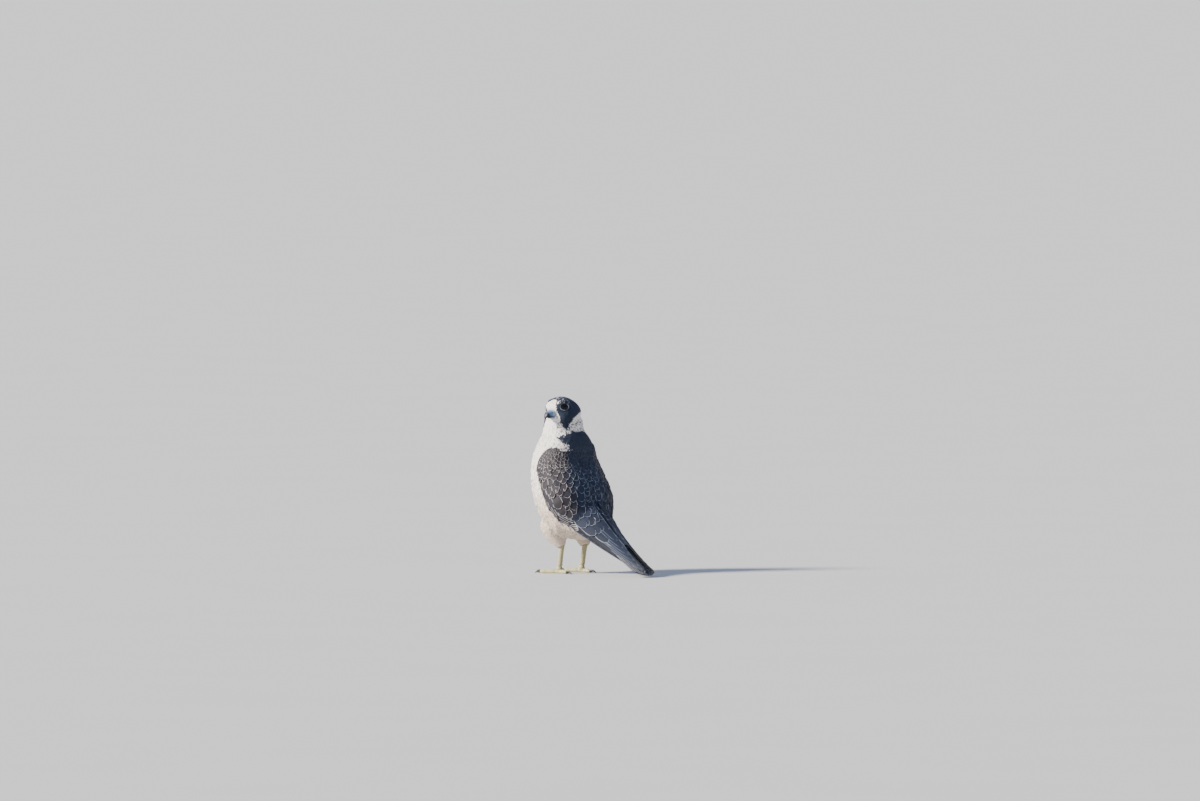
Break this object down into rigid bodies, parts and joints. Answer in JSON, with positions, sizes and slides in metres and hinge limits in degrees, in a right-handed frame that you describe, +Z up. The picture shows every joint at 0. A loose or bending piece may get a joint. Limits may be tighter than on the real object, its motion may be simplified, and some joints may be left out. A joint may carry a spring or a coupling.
{
  "type": "peregrine falcon figure",
  "caption": "Life-size young peregrine falcon, still, standing upright on its feet with its head turned over its left shoulder.",
  "frame": {"origin": "on the floor, under the centre of the bounding box", "axes": "+Z up; +X to the bird's left; -Y the way its breast faces, so the tail runs towards +Y"},
  "size_m": [0.1564, 0.3004, 0.3356],
  "materials": {
    "pale_plumage": "matt, soft, cream-white feathers with dark streaks",
    "dark_plumage": "matt, slate-brown feathers with pale edges",
    "eye": "wet gloss, near black",
    "cere": "satin, pale bluish green skin",
    "bill": "satin horn, steel blue with a dark tip",
    "foot_skin": "scaly, matt, greenish yellow-grey skin",
    "claw": "smooth black horn"
  },
  "bodies": {
    "root": {"bill_lower": "bill", "bill_upper": "bill", "cere": "cere", "claw_hind_left": "claw", "claw_hind_right": "claw", "claw_inner_left": "claw", "claw_inner_right": "claw", "claw_middle_left": "claw", "claw_middle_right": "claw", "claw_outer_left": "claw", "claw_outer_right": "claw", "eye_left": "eye", "eye_right": "eye", "foot_left": "foot_skin", "foot_right": "foot_skin", "head": "dark_plumage", "neck": "pale_plumage", "primaries_left": "dark_plumage", "primaries_right": "dark_plumage", "shank_left": "foot_skin", "shank_right": "foot_skin", "tail": "dark_plumage", "thigh_left": "pale_plumage", "thigh_right": "pale_plumage", "trunk": "pale_plumage", "wing_left": "dark_plumage", "wing_right": "dark_plumage"}
  },
  "joints": []
}
